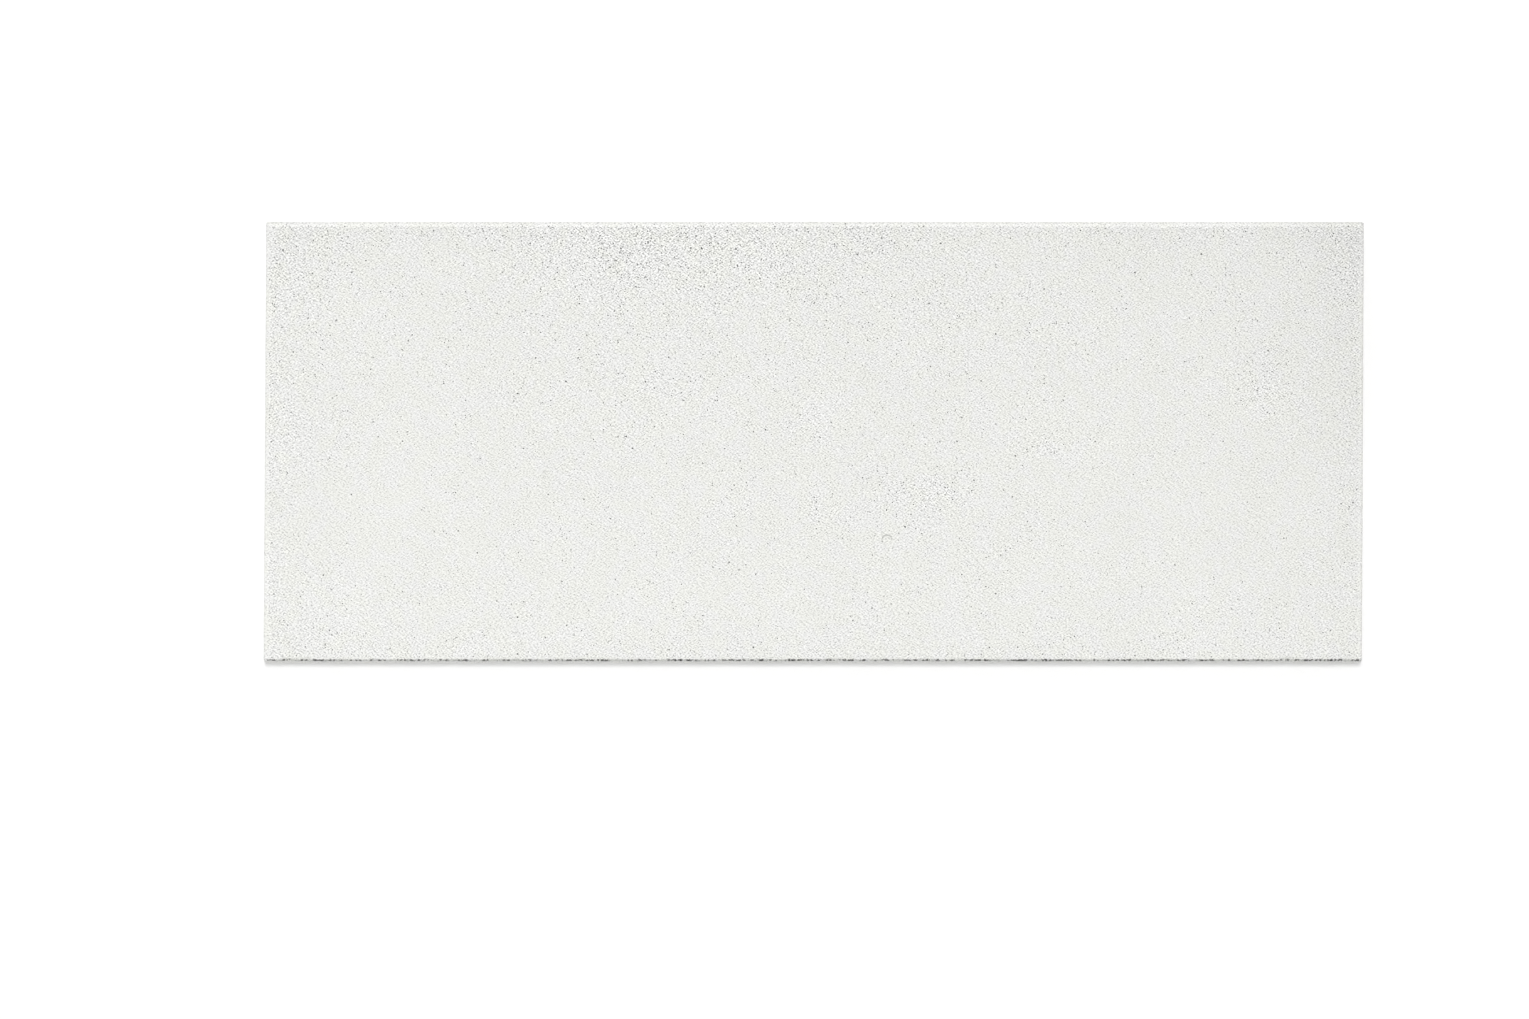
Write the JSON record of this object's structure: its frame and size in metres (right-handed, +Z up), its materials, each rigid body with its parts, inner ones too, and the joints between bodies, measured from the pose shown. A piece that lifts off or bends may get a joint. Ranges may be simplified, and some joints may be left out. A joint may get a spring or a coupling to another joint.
{
  "type": "paving slab",
  "caption": "Flat rectangular concrete paving slab with softly rounded top edges, laid on bedding as a walking surface.",
  "frame": {"origin": "middle of the flat underside, which lies on the bedding", "axes": "+X along the slab's length, +Y across its width, +Z up out of the walking face"},
  "size_m": [1, 0.4, 0.05],
  "materials": {
    "concrete": "matte"
  },
  "bodies": {
    "root": {"paving_slab": "concrete"}
  },
  "joints": []
}
